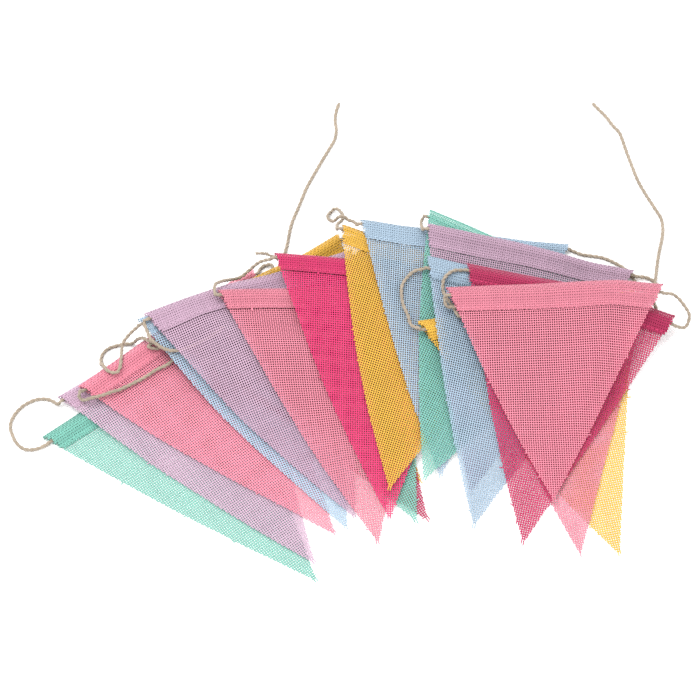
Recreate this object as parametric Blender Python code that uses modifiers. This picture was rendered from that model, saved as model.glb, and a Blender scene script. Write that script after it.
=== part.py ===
"""Fabric bunting: nineteen triangular mesh pennants on one jute twine, lying fanned out in a flat pile.

Each pennant is one draped sheet whose top edge is folded over into a casing. The twine runs through
every casing in turn, lies on the pile between them, and ends in two free tails on the surface.
The pennants are laid one after another: each rests on whatever already lies under it.
Sizes are in millimetres and are turned into metres when a mesh or curve is made.
+X is to the right along the pile, +Y is towards the tails, +Z is up, and the surface is at Z = 0.
"""
import math
from collections import namedtuple

import bmesh
import bpy
import numpy as np

MILLIMETRE = 0.001
CLOTH = 1.0            # thickness of one layer of mesh cloth
TWINE = 1.8            # diameter of the jute twine, without its fuzz
GAP = 0.35             # air left between two pieces that touch
CASING_GAP = 0.55      # air round the twine inside a casing
TIP_WIDTH = 3.0        # a pennant's tip is cut blunt
COLUMNS = 5            # facets across a pennant
PANEL_ROWS = 6         # facets from the casing's seam down to the tip
LINK_STEP = 8.0        # distance between the twine's points where it lies free
CURL_STEP = 3.6        # the same in a tight curl
CLOTH_SLOPE = 0.28     # steepest way of the cloth over what lies under it
TWINE_SLOPE = 0.60     # steepest way of the twine down from a casing's end to the pile
OUT_STEP = 3.8         # straight run of twine just outside a casing
CELL = 1.0             # raster cell of the pile's height map
MAP_HALF_X = 270.0     # half sizes of the height map
MAP_HALF_Y = 290.0
LIFT_ROUNDS = 60       # most passes when a net is lifted clear of the pile
SHORT_LIFT = 2         # passes of lifting between two passes of settling
SETTLE_ROUNDS = 70     # passes in which a piece eases and sinks onto the pile
STIFFNESS = 0.35       # how far a point moves towards its neighbours in one pass
SINK = 0.8             # how far a loose point sinks in one pass, in millimetres
LEAST_MOVE = 0.05      # share of a full move that is left in the last pass of settling

CROSSING_ROUNDS = 3    # times the twine is settled again over its own earlier loops
SAME_LOOP = 6 * TWINE  # length of twine that is too near to be crossed
TWINE_PARTS = 8        # places looked at between two of the twine's points
CURVE_PARTS = 24       # places worked out between two of the points that a stretch is laid through
TENT = 4.0             # half width of the ridge that the twine makes in a casing's flap
STEEPEST = 0.5         # least upright share of a facet's normal, for its height over its middle
CLOTH_ROUGHNESS = 0.85
JUTE_ROUGHNESS = 0.9

FLAP_RISE = CLOTH + GAP                      # from the back layer's middle to the flap's middle
TWINE_RISE = CLOTH / 2 + CASING_GAP + TWINE / 2     # from the back layer's middle to the twine's
TENT_RISE = TWINE_RISE * (1 + math.hypot(TENT, TWINE_RISE) / TENT)

COLOURS = {
    "pink": (0.90, 0.22, 0.32),
    "crimson": (0.70, 0.02, 0.13),
    "yellow": (0.94, 0.58, 0.06),
    "blue": (0.24, 0.46, 0.72),
    "mint": (0.16, 0.76, 0.53),
    "lilac": (0.58, 0.38, 0.66),
    "jute": (0.50, 0.36, 0.21),
}

# One row for each pennant, from the bottom of the pile to the top.
# x, y: left end of the fold.  turn: angle of the fold, degrees.  base, drop: width and height.
# lean: how far the tip is to the right of the middle.  hem: depth of the casing's flap.
# thread: how far under the fold the twine runs.  bow: how far the left edge bulges.
Pennant = namedtuple("Pennant", "name colour x y turn base drop lean hem thread bow")
PENNANTS = [
    Pennant("mint_1", "mint", -222, -35, 37, 155, 202, 10, 17, 7, 3),
    Pennant("lilac_1", "lilac", -213, -5, 35, 154, 208, -1, 17, 5, 4),
    Pennant("pink_1", "pink", -198, 0, 39.5, 154, 199.5, -7.5, 17, 6, 3),
    Pennant("yellow_1", "yellow", -144, 41, 35, 154, 197.5, 11.5, 17, 6, 4),
    Pennant("crimson_1", "crimson", -119, 36, 33, 146, 203, -8.5, 17, 12, 4),
    Pennant("blue_1", "blue", -158, 48, 22, 154, 198, 3, 17, 6, 5),
    Pennant("mint_2", "mint", -104, 48, 26, 157, 196, -16, 17, 12, 4),
    Pennant("lilac_2", "lilac", -153, 49, 22.5, 158, 192, 2.5, 19, 6, 5),
    Pennant("pink_2", "pink", -101, 64, 8, 152, 194, 10.5, 16, 5, 4),
    Pennant("crimson_2", "crimson", -62, 98.5, -0.5, 154, 197.5, 6, 16, 5, 5),
    Pennant("yellow_2", "yellow", -13.5, 125, -16, 154.5, 187, 10.5, 18, 5, 6.5),
    Pennant("blue_2", "blue", 0, 129, -3, 151, 193, -11, 18, 5, 4),
    Pennant("mint_3", "mint", 50, 140, -24, 155, 196, 2, 17, 8, 6),
    Pennant("lilac_3", "lilac", 48, 124, -10, 151, 194.5, -13.5, 18, 5, 4),
    Pennant("yellow_3", "yellow", 40, 48.5, 11, 158, 196, 21, 16, 8, 4),
    Pennant("blue_3", "blue", 48, 98, -12, 152, 191, -6, 17, 10, 4),
    Pennant("pink_3", "pink", 70, 54.5, 8, 137, 189, -15.5, 17, 6, 2),
    Pennant("crimson_3", "crimson", 76, 91.5, -14, 151, 193.5, 8, 17, 7, 4),
    Pennant("pink_4", "pink", 60, 68, 2, 154, 156.5, -10.5, 20, 7, 2),
]

# The twine's way between one casing and the next, as places it is laid through, in x and y.
# Each row is named for the pennant that the twine comes out of.
LEFT_TAIL = [(-16, 244), (-19, 232), (-18, 218), (-20, 210), (-29, 192), (-39, 171), (-45, 154),
             (-51, 136), (-55, 114), (-67, 84), (-80, 67)]
RIGHT_TAIL = [(174, 244), (177, 240), (184, 231), (188, 224), (193, 217), (195, 209), (198, 197),
              (201, 186), (205, 173), (211, 160), (216, 150), (219.5, 142), (220, 134), (219, 126),
              (216, 114), (214, 103), (212, 91), (210, 80), (205, 66), (170, 58), (110, 53),
              (72, 54.5), (61, 55), (57.5, 57)]
LINKS = {
    "mint_1": [(-227, -45), (-236, -44), (-242, -36), (-245, -27), (-243, -19), (-237, -11),
               (-228, -6), (-219, -6)],
    "lilac_1": [(-78, 82), (-66, 91), (-63, 101), (-70, 104)],
    "pink_1": [(-197, -9), (-193.5, -11), (-189, -11), (-182, -9), (-172, -5), (-161, 1), (-152, 6.5),
               (-144, 12.5), (-136, 17), (-132, 22), (-133, 28), (-139, 30), (-145, 28), (-150, 29)],
    "yellow_1": [(-5, 127), (5, 123), (12, 115), (13, 109)],
    "crimson_1": [(-130, 22), (-142, 29), (-151, 33), (-157, 37.5), (-165, 38.5), (-174, 37),
                  (-181, 33.5), (-184, 27), (-183, 19), (-178, 10), (-172, 8), (-169, 12),
                  (-168.5, 20), (-168.5, 27), (-168.5, 32.5), (-165.5, 36.5), (-161, 40)],
    "blue_1": [(0, 106), (20, 115), (38, 119), (48, 115), (47, 108)],
    "mint_2": [(-115, 27), (-124, 23), (-132, 22), (-141, 25), (-147, 29), (-150, 35), (-152, 40)],
    "lilac_2": [(0, 111), (20, 110), (42, 101), (56, 90), (57, 82)],
    "pink_2": [(-104, 62), (-102, 68), (-98, 73), (-94, 78), (-88, 84), (-80, 90), (-72, 94)],
    "crimson_2": [(105, 93), (120, 95), (134, 92), (141, 86), (141, 79)],
    "yellow_2": [(-17, 127), (-13.5, 133), (-13, 140), (-15, 146), (-18, 150), (-21.5, 149),
                 (-24, 144), (-23, 138.5), (-19.5, 135.5), (-16, 134.5), (-12, 134), (-7, 131),
                 (-4, 127.5)],
    "blue_2": [(158, 113), (168, 111), (177, 109), (184, 105), (191, 100), (195, 95), (199, 83),
               (197, 73)],
    "mint_3": [(43.5, 129.5), (43.5, 126.5)],
    "lilac_3": [(201, 93), (207, 92.5), (211.5, 90), (212, 84), (207, 75)],
    "yellow_3": [(36, 44), (34, 50), (32, 55), (30, 59.5), (29, 65), (28.5, 71), (30, 77.5),
                 (33, 82), (36, 85.5), (40, 88.5)],
    "blue_3": [(201, 54.5), (207, 56.5), (210.5, 61)],
    "pink_3": [(67, 51), (66, 54.5), (64, 58.5), (61.5, 62.5), (59.5, 66.5), (58, 71), (58, 75),
               (59, 78.5), (61.5, 81.5), (65.5, 83.5)],
    "crimson_3": [(228, 48.5), (232, 50.5), (233.5, 55), (232, 59.5), (228.5, 63.5), (224, 66.5),
                  (220, 68.5)],
}
CURLS = {"pink_1", "crimson_1", "yellow_2", "mint_3", "blue_3"}     # laid in short steps


# ---------------------------------------------------------------- the pile's height map

class Pile:
    """Height of the pile's top over the surface, on a raster of square cells."""

    def __init__(self):
        self.x = np.arange(-MAP_HALF_X, MAP_HALF_X, CELL)
        self.y = np.arange(-MAP_HALF_Y, MAP_HALF_Y, CELL)
        self.top = np.zeros((len(self.y), len(self.x)))

    def cells_in_triangle(self, corners):
        """Rows, columns and corner weights of the cells whose middles lie in a plan triangle."""
        (ax, ay), (bx, by), (cx, cy) = corners
        double_area = (bx - ax) * (cy - ay) - (cx - ax) * (by - ay)
        i0, i1 = np.searchsorted(self.x, (min(ax, bx, cx), max(ax, bx, cx)))
        j0, j1 = np.searchsorted(self.y, (min(ay, by, cy), max(ay, by, cy)))
        px, py = np.meshgrid(self.x[i0:i1], self.y[j0:j1])
        if abs(double_area) < 1e-9 or px.size == 0:
            return np.empty((2, 0), int), np.empty((0, 3))
        wb = ((px - ax) * (cy - ay) - (cx - ax) * (py - ay)) / double_area
        wc = ((bx - ax) * (py - ay) - (px - ax) * (by - ay)) / double_area
        wa = 1 - wb - wc
        rows, columns = np.nonzero((wa >= 0) & (wb >= 0) & (wc >= 0))
        weights = np.stack([w[rows, columns] for w in (wa, wb, wc)], axis=1)
        return np.stack([rows + j0, columns + i0]), weights

    def raise_to(self, layer):
        """Lay a new layer, given as a height map of its own, a cell wider all round."""
        self.top = np.maximum(self.top, widened(layer, 1))


def widened(height_map, cells):
    """The largest height within a square of so many cells each way."""
    result = height_map.copy()
    for axis in (0, 1):
        source = result.copy()
        for shift in range(-cells, cells + 1):
            result = np.maximum(result, np.roll(source, shift, axis))
    return result


def lifted(heights, weights, needed, rounds):
    """Raise a net's free heights until every place that they carry is as high as needed.

    weights has a row for each place and a column for each free height. A row of 1 and -1 keeps the
    first height from lying far under the second, and only raises the first.
    """
    heights = heights.copy()
    raising = np.maximum(weights, 0)
    share = raising / (raising ** 2).sum(axis=1, keepdims=True)
    for _ in range(rounds):
        missing = needed - weights @ heights
        low = missing > 0
        if not low.any():
            break
        heights += (missing[low, None] * share[low]).max(axis=0)
    return heights


def settled(heights, around, weights, needed, lowest):
    """Let a net ease and sink until it rests on what lies under it."""
    heights = lifted(heights, weights, needed, LIFT_ROUNDS)
    for turn in range(SETTLE_ROUNDS):
        calm = max(LEAST_MOVE, 1 - turn / SETTLE_ROUNDS)
        moved = heights + calm * (STIFFNESS * (around(heights) - heights) - SINK)
        heights = lifted(np.maximum(moved, lowest), weights, needed, SHORT_LIFT)
    return lifted(heights, weights, needed, LIFT_ROUNDS)


# ---------------------------------------------------------------- the pennants

def section_rows(pennant):
    """Rows across a pennant from the flap's raw edge over the fold to the tip.

    Each row has its distance down from the fold, its rise over the back layer, and its place among
    the free rows: 0 is at the fold, 1 at the seam, and whole numbers go on from there to the tip.
    The casing is straight in section, and the twine lies under the flap's ridge.
    """
    ridge = pennant.thread
    downs = [FLAP_RISE / 2, ridge - TENT, ridge, ridge + TENT, pennant.hem]
    rises = [FLAP_RISE, FLAP_RISE, TENT_RISE, FLAP_RISE, FLAP_RISE]
    frees = [(down - downs[0]) / (downs[-1] - downs[0]) for down in downs]
    rows = list(zip(downs, rises, frees))[::-1]
    rows.append((0.0, FLAP_RISE / 2, 0.0))
    rows += [(down, 0.0, free) for down, free in zip(downs, frees)]
    last = pennant.drop * (1 - TIP_WIDTH / pennant.base)
    for step in range(1, PANEL_ROWS + 1):
        rows.append((pennant.hem + (last - pennant.hem) * step / PANEL_ROWS, 0.0, 1.0 + step))
    return rows


FOLD_ROW = 5           # the row at the outside of the fold
FREE_ROWS = PANEL_ROWS + 2


def plan_point(pennant, across, down):
    """Plan place of a point at a share across the pennant and a distance down from its fold."""
    turn = math.radians(pennant.turn)
    along = np.array((math.cos(turn), math.sin(turn)))
    downwards = np.array((math.sin(turn), -math.cos(turn)))
    part = down / pennant.drop
    x = across * pennant.base * (1 - part) + (pennant.base / 2 + pennant.lean) * part
    x -= pennant.bow * 4 * part * (1 - part) * (1 - across)
    return np.array((pennant.x, pennant.y)) + along * x + downwards * down


def flat_net(pennant):
    """A grid mesh in plan, cut into triangles, with its rows and columns kept with each point."""
    rows = section_rows(pennant)
    net = bmesh.new()
    bmesh.ops.create_grid(net, x_segments=COLUMNS, y_segments=len(rows) - 1, size=0.5)
    places = {}
    for vertex in net.verts:
        column = round((vertex.co.x + 0.5) * COLUMNS)
        row = round((vertex.co.y + 0.5) * (len(rows) - 1))
        places[vertex.index] = (row, column)
    flap = [f for f in net.faces if max(places[v.index][0] for v in f.verts) <= FOLD_ROW]
    back = [f for f in net.faces if f not in flap]
    bmesh.ops.triangulate(net, faces=flap, quad_method='ALTERNATE')
    bmesh.ops.triangulate(net, faces=back, quad_method='FIXED')
    net.verts.index_update()
    return net, rows, places


def carried_by(free, column):
    """Share of each free height in the height of a point at a free row and a column."""
    shares = np.zeros((FREE_ROWS, COLUMNS + 1))
    row = min(int(free), FREE_ROWS - 2)
    shares[row, column] = 1 - (free - row)
    shares[row + 1, column] = free - row
    return shares.ravel()


def drape(pennant, pile):
    """Lay one pennant on the pile. Returns its net in place, and the twine's line in its casing."""
    net, rows, places = flat_net(pennant)
    row_of, column_of = np.array([places[index] for index in range(len(net.verts))]).T
    plan = np.array([plan_point(pennant, c / COLUMNS, rows[r][0]) for r, c in zip(row_of, column_of)])
    shares = np.array([carried_by(rows[r][2], c) for r, c in zip(row_of, column_of)])
    triangles = np.array([[vertex.index for vertex in face.verts] for face in net.faces])

    # what lies under the back layer, and a cell past the fold, says how high it must lie
    foot = plan.copy()
    for index in np.nonzero(row_of == FOLD_ROW)[0]:
        foot[index] = plan_point(pennant, column_of[index] / COLUMNS, -CELL)
    weights, needed = [], []
    for triangle in triangles:
        if row_of[triangle].min() < FOLD_ROW:
            continue
        cells, parts = pile.cells_in_triangle(foot[triangle])
        height = pile.top[cells[0], cells[1]]
        weights.append(parts @ shares[triangle])
        needed.append(np.where(height > 0, height + GAP, 0) + CLOTH / 2)
    gentle, steps = slope_limits(pennant)
    weights, needed = np.concatenate(weights + [gentle]), np.concatenate(needed + [steps])
    heights = np.full(FREE_ROWS * (COLUMNS + 1), CLOTH / 2)
    heights = settled(heights, around_in_grid, weights, needed, CLOTH / 2)

    z = shares @ heights + np.array([rows[r][1] for r in row_of])
    for vertex in net.verts:
        vertex.co = (*(plan[vertex.index] * MILLIMETRE), z[vertex.index] * MILLIMETRE)
    pile.raise_to(layer_of(pile, plan, z, triangles))
    ridge = rows[FOLD_ROW + 3][2]
    twine_z = [carried_by(ridge, c) @ heights + TWINE_RISE for c in range(COLUMNS + 1)]
    return net, [(*place, height) for place, height in zip(casing_line(pennant), twine_z)]


def slope_limits(pennant):
    """Rows that keep neighbouring free heights from making the cloth too steep."""
    free_downs = [row[0] for row in section_rows(pennant) if row[1] == 0 and row[2] == int(row[2])]
    spots = {(row, column): plan_point(pennant, column / COLUMNS, down)
             for row, down in enumerate(free_downs) for column in range(COLUMNS + 1)}
    gentle, steps = [], []
    for (row, column), spot in spots.items():
        for other in ((row + 1, column), (row, column + 1)):
            if other not in spots:
                continue
            difference = carried_by(row, column) - carried_by(*other)
            step = -CLOTH_SLOPE * np.linalg.norm(spots[other] - spot)
            gentle += [difference, -difference]
            steps += [step, step]
    return np.array(gentle), np.array(steps)


def casing_line(pennant):
    """Plan places of the twine inside a pennant's casing, from its left end to its right."""
    return [tuple(plan_point(pennant, c / COLUMNS, pennant.thread)) for c in range(COLUMNS + 1)]


def around_in_grid(heights):
    """Mean height of each back-layer point's four neighbours."""
    padded = np.pad(heights.reshape(FREE_ROWS, COLUMNS + 1), 1, mode="edge")
    return ((padded[:-2, 1:-1] + padded[2:, 1:-1] + padded[1:-1, :-2] + padded[1:-1, 2:]) / 4).ravel()


def around_in_line(heights):
    """Mean height of the points before and after each point of a line."""
    padded = np.pad(heights, 1, mode="edge")
    return (padded[:-2] + padded[2:]) / 2


def layer_of(pile, plan, z, triangles):
    """Height map of a sheet's upper side."""
    layer = np.zeros_like(pile.top)
    for triangle in triangles:
        a, b, c = (np.array((*plan[i], z[i])) for i in triangle)
        normal = np.cross(b - a, c - a)
        upright = abs(normal[2]) / (np.linalg.norm(normal) + 1e-12)
        cells, share = pile.cells_in_triangle(plan[triangle])
        tops = (share * z[triangle]).sum(axis=1) + CLOTH / 2 / max(upright, STEEPEST)
        np.maximum.at(layer, (cells[0], cells[1]), tops)
    return layer


# ---------------------------------------------------------------- the twine

def smooth_way(points, step):
    """Points at even steps along a smooth curve through the given plan points."""
    points = [np.array(p, float) for p in points]
    ends = [2 * points[0] - points[1]] + points + [2 * points[-1] - points[-2]]
    way = []
    for a, b, c, d in zip(ends, ends[1:], ends[2:], ends[3:]):
        for t in np.linspace(0, 1, CURVE_PARTS, endpoint=False):
            way.append(0.5 * (2 * b + (c - a) * t + (2 * a - 5 * b + 4 * c - d) * t ** 2
                              + (3 * b - a - 3 * c + d) * t ** 3))
    way = np.array(way + [points[-1]])
    run = np.concatenate(([0], np.cumsum(np.linalg.norm(np.diff(way, axis=0), axis=1))))
    count = max(2, round(run[-1] / step) + 1)
    even = np.linspace(0, run[-1], count)
    return np.stack([np.interp(even, run, way[:, k]) for k in (0, 1)], axis=1)


class Link:
    """A stretch of twine that lies free on the pile."""

    def __init__(self, points, pile, step, start=None):
        """Lay the stretch through plan points, from a casing's end where there is one."""
        self.places = smooth_way(points, step)
        self.start, self.end = start, None
        radius = TWINE / 2
        near = widened(pile.top, 1)
        weights = np.zeros(((len(self.places) - 1) * TWINE_PARTS + 1, len(self.places)))
        for index in range(len(weights)):
            before, part = divmod(index, TWINE_PARTS)
            weights[index, before] = 1 - part / TWINE_PARTS
            if part:
                weights[index, before + 1] = part / TWINE_PARTS
        between = weights @ self.places
        run = np.concatenate(([0], np.cumsum(np.linalg.norm(np.diff(between, axis=0), axis=1))))
        height = near[np.searchsorted(pile.y, between[:, 1]), np.searchsorted(pile.x, between[:, 0])]
        needed = np.where(height > 0, height + GAP, 0) + radius
        if start:
            needed = np.maximum(needed, start[2] - TWINE_SLOPE * (run + OUT_STEP))
        self.heights = np.full(len(self.places), radius)
        for _ in range(CROSSING_ROUNDS):
            self.heights = settled(self.heights, around_in_line, weights, needed, radius)
            needed = np.maximum(needed, over_itself(between, run, weights @ self.heights))
        self.to_go = (run[-1] - run + OUT_STEP)[::TWINE_PARTS]
        self.press_on(pile)

    def climb_to(self, end, pile):
        """Lead the end of the stretch up to the casing that it enters."""
        self.end = end
        self.heights = np.maximum(self.heights, end[2] - TWINE_SLOPE * self.to_go)
        self.press_on(pile)

    def press_on(self, pile):
        """Raise the pile's height map to the top of the twine."""
        points = np.array([self.start] * bool(self.start) + self.points() + [self.end] * bool(self.end))
        layer = np.zeros_like(pile.top)
        for before, after in zip(points, points[1:]):
            count = math.ceil(2 * np.linalg.norm(after - before) / CELL) + 1
            for x, y, z in before + (after - before) * np.linspace(0, 1, count)[:, None]:
                row, column = np.searchsorted(pile.y, y), np.searchsorted(pile.x, x)
                layer[row, column] = max(layer[row, column], z + TWINE / 2)
        pile.raise_to(widened(layer, math.ceil(TWINE / 2 / CELL)))

    def points(self):
        """The stretch's own points, without the casings' ends."""
        return [(x, y, z) for (x, y), z in zip(self.places, self.heights)]


def over_itself(between, run, z):
    """Height that each place along the twine needs to cross over an earlier stretch of it."""
    needed = np.zeros(len(between))
    for index, place in enumerate(between):
        apart = np.linalg.norm(between - place, axis=1)
        earlier = (run < run[index] - SAME_LOOP) & (apart < TWINE + 2 * GAP)
        if earlier.any():
            needed[index] = z[earlier].max() + TWINE + GAP
    return needed


def beyond(line, at_left, distance):
    """Plan point past one end of a casing, straight out of it."""
    end, inner = (line[0], line[1]) if at_left else (line[-1], line[-2])
    end, inner = np.array(end[:2]), np.array(inner[:2])
    way = (end - inner) / np.linalg.norm(end - inner)
    return tuple(end + way * distance)


def lay_bunting():
    """Lay every pennant and the twine, from the bottom up."""
    pile = Pile()
    sheets = []
    twine = []
    first_end = beyond(casing_line(PENNANTS[0]), False, OUT_STEP)
    link = Link(LEFT_TAIL + [first_end], pile, LINK_STEP)
    for number, pennant in enumerate(PENNANTS):
        last = pennant is PENNANTS[-1]
        at_left = number % 2 == 0
        if last:
            last_end = beyond(casing_line(pennant), True, OUT_STEP)
            tail = Link(RIGHT_TAIL + [last_end], pile, LINK_STEP)
        net, line = drape(pennant, pile)
        sheets.append((pennant, net))
        if at_left:
            line.reverse()
        link.climb_to(line[0], pile)
        twine += link.points() + line
        if last:
            tail.climb_to(line[-1], pile)
            twine += tail.points()[::-1]
        else:
            ends = casing_line(PENNANTS[number + 1])
            way = [beyond(sorted(line), at_left, OUT_STEP)] + LINKS[pennant.name]
            way.append(beyond(ends, at_left, OUT_STEP))
            step = CURL_STEP if pennant.name in CURLS else LINK_STEP
            link = Link(way, pile, step, line[-1])
    return sheets, twine


# ---------------------------------------------------------------- objects and materials

def cleared_scene():
    """Empty the scene and make the collection that holds the bunting."""
    for item in list(bpy.data.objects):
        bpy.data.objects.remove(item, do_unlink=True)
    collection = bpy.data.collections.new("fabric_bunting")
    bpy.context.scene.collection.children.link(collection)
    return collection


def plain_material(name, colour, roughness):
    """A Principled material of one colour."""
    material = bpy.data.materials.new(name)
    material.use_nodes = True
    shader = material.node_tree.nodes["Principled BSDF"]
    shader.inputs["Base Color"].default_value = (*colour, 1)
    shader.inputs["Roughness"].default_value = roughness
    shader.inputs["Metallic"].default_value = 0.0
    return material


def make_pennant(pennant, net, collection):
    """One pennant: its draped net, thickened to the cloth's thickness."""
    mesh = bpy.data.meshes.new("pennant_" + pennant.name)
    net.to_mesh(mesh)
    net.free()
    item = bpy.data.objects.new("pennant_" + pennant.name, mesh)
    collection.objects.link(item)
    thick = item.modifiers.new("cloth thickness", 'SOLIDIFY')
    thick.thickness = CLOTH * MILLIMETRE
    thick.offset = 0.0
    thick.use_even_offset = True
    mesh.materials.append(plain_material("mesh_" + pennant.name, COLOURS[pennant.colour],
                                         CLOTH_ROUGHNESS))


def make_twine(points, collection):
    """The whole twine as one round tube."""
    curve = bpy.data.curves.new("twine", 'CURVE')
    curve.dimensions = '3D'
    curve.bevel_depth = TWINE / 2 * MILLIMETRE
    curve.bevel_resolution = 2
    curve.use_fill_caps = True
    spline = curve.splines.new('POLY')
    spline.points.add(len(points) - 1)
    for point, place in zip(spline.points, points):
        point.co = (*(value * MILLIMETRE for value in place), 1)
    curve.materials.append(plain_material("jute", COLOURS["jute"], JUTE_ROUGHNESS))
    collection.objects.link(bpy.data.objects.new("twine", curve))


def main():
    collection = cleared_scene()
    sheets, twine = lay_bunting()
    for pennant, net in sheets:
        make_pennant(pennant, net, collection)
    make_twine(twine, collection)


main()
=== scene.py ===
import math
from collections import namedtuple

import bpy
import numpy as np
from bpy.props import FloatProperty, FloatVectorProperty, IntProperty, PointerProperty
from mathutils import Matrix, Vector
from mathutils.bvhtree import BVHTree


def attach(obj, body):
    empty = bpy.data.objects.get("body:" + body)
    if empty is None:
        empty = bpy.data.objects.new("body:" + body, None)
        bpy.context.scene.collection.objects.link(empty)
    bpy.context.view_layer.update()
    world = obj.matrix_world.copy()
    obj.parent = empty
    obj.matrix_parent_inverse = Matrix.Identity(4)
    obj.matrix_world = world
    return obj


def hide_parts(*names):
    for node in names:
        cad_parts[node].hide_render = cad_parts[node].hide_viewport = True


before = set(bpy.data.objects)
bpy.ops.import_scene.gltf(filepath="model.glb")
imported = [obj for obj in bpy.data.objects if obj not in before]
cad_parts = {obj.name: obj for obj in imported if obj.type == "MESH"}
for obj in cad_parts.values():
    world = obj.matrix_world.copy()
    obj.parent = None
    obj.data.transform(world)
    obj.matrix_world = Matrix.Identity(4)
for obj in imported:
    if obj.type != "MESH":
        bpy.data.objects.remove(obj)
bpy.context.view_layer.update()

bl_info = {
    "name": "Fabric bunting",
    "version": (1, 0, 0),
    "blender": (4, 5, 0),
    "location": "3D View > Sidebar > Bunting",
    "description": "Weaves the mesh pennants and twists the jute twine of a bunting in a pile",
    "category": "Object",
}

MILLIMETRE = 0.001
BODY = "root"

# The pennants, from the bottom of the pile to the top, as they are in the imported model, in
# millimetres. A pennant's colour is the first part of its name.
# x, y: left end of the fold.  turn: angle of the fold, degrees.  width: along the fold.
# depth: from the fold to the tip.  lean: how far the tip is to the right of the middle.
# flap: depth of the casing's flap.  thread: how far under the fold the twine runs.
# bow: how far the left edge bulges.  fray: how ragged the cut ends are, in shares of the usual
# raggedness.  dye: how light the dye is, in shares of the usual colour.
Pennant = namedtuple("Pennant", "colour name x y turn width depth lean flap thread bow fray dye",
                     defaults=(1.0, 1.0))
PENNANTS = [Pennant(name.split("_")[0], name, *shape) for name, *shape in (
    ("mint_1", -222, -35, 37, 155, 202, 10, 17, 7, 3),
    ("lilac_1", -213, -5, 35, 154, 208, -1, 17, 5, 4, 0.8, 1.1),
    ("pink_1", -198, 0, 39.5, 154, 199.5, -7.5, 17, 6, 3, 0.8, 1.15),
    ("yellow_1", -144, 41, 35, 154, 197.5, 11.5, 17, 6, 4),
    ("crimson_1", -119, 36, 33, 146, 203, -8.5, 17, 12, 4, 1.2, 0.6),
    ("blue_1", -158, 48, 22, 154, 198, 3, 17, 6, 5, 0.8, 1.15),
    ("mint_2", -104, 48, 26, 157, 196, -16, 17, 12, 4, 1.2),
    ("lilac_2", -153, 49, 22.5, 158, 192, 2.5, 19, 6, 5, 0.8),
    ("pink_2", -101, 64, 8, 152, 194, 10.5, 16, 5, 4),
    ("crimson_2", -62, 98.5, -0.5, 154, 197.5, 6, 16, 5, 5, 0.6),
    ("yellow_2", -13.5, 125, -16, 154.5, 187, 10.5, 18, 5, 6.5),
    ("blue_2", 0, 129, -3, 151, 193, -11, 18, 5, 4),
    ("mint_3", 50, 140, -24, 155, 196, 2, 17, 8, 6, 0.8),
    ("lilac_3", 48, 124, -10, 151, 194.5, -13.5, 18, 5, 4, 1.0, 0.9),
    ("yellow_3", 40, 48.5, 11, 158, 196, 21, 16, 8, 4, 1.0, 1.12),
    ("blue_3", 48, 98, -12, 152, 191, -6, 17, 10, 4, 1.3),
    ("pink_3", 70, 54.5, 8, 137, 189, -15.5, 17, 6, 2, 1.2),
    ("crimson_3", 76, 91.5, -14, 151, 193.5, 8, 17, 7, 4, 1.2, 0.7),
    ("pink_4", 60, 68, 2, 154, 156.5, -10.5, 20, 7, 2),
)]

# The drape, in millimetres.
TIP_WIDTH = 3.0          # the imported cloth's tip is cut blunt
WOVEN_TIP = 1.6          # the woven cloth runs on to a tip of this width
CLOTH = 1.0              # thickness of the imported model's cloth
FLAP_RISE = 1.35         # from the middle of the back layer to the middle of the flap
FOLD_TURN = FLAP_RISE / 2 * math.pi / 2      # cloth from the outside of the fold to either layer
TWINE_TENT = 3.0         # how far the flap rises over the twine
TENT_HALF_WIDTH = 7.5
PRESSED_RISE = 0.85      # the flap is pressed down to this over the back at its sewn edge
PRESSED_DEPTH = 6.0      # from so far above that edge
FLAP_ASKEW = 0.8         # the flap is folded this far off: its threads lie over the back's holes
UNDER_ALL = -10.0        # heights are read upwards from here
INSET = 1.3              # and this far inside the cloth's edges
GRID_STEP = 4.0          # spacing of the heights that are read
PAST_LAST = 1.001        # keeps a place inside the last cell of their grid
FINE_STEP = 1.5          # rows of the sheet across the casing
MARGIN = 14.0            # the sheet runs on past the cloth, to carry loose thread ends
EASE_ROUNDS = 6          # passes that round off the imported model's facets
EASE_LIMIT = 0.35        # furthest that they may move the cloth
FLAT_UNIT = 0.2          # metres of flat cloth in one unit of its UV map

# The painted shade where pennants lie over each other: a lower layer's colour is darkened where
# others cover it, deep in the pile.
DARK_DEPTH = 4           # layers below a covered thread from which it is fully in the shade
COVER_SHADE = 0.85       # light that one covering layer takes away there
DARKEST_SHADE = 0.95     # most that all of them take away
RED_LETS_THROUGH = 0.35  # share of the usual painted shade under crimson cloth, which lets much red light through
EDGE_LIGHT = 9.0         # how far light comes in under a pennant from its edges, in millimetres
EDGE_SHARE = 0.25        # what a layer counts for right at its edge
# Painted shade on the doubled cloth of a casing, for the colours where it looks deeper: the light
# that it gives back.
CASING_PAINTED_SHADE = {"crimson": 0.80, "pink": 0.91, "lilac": 0.95}

# The weave.
SPARE_THREADS = 2        # threads laid out past either side of the fold
FLAP_RAGGEDNESS = 4      # how much more unevenly a casing's threads end at its sides
LOOSE_RARITY = 60        # the higher, the fewer threads hang out
END_NUMBERS, TONE_NUMBERS = 1000, 5000       # keep the random numbers of two uses apart
MOVED = 1e-6             # metres; a place that is moved further is past its thread's cut end
PAST_WHOLE = 0.01        # a thread's number and this is never just under a whole number
BETWEEN_THREADS = 0.25   # share of the way from one thread to the next
MOSTLY_OUTSIDE = 0.75
STRAY_SCALE, STRAY_DETAIL, STRAY_GAIN = 28.0, 1.5, 4
THREAD_UNIT = 0.01       # metres of thread in one unit of its UV map

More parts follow.
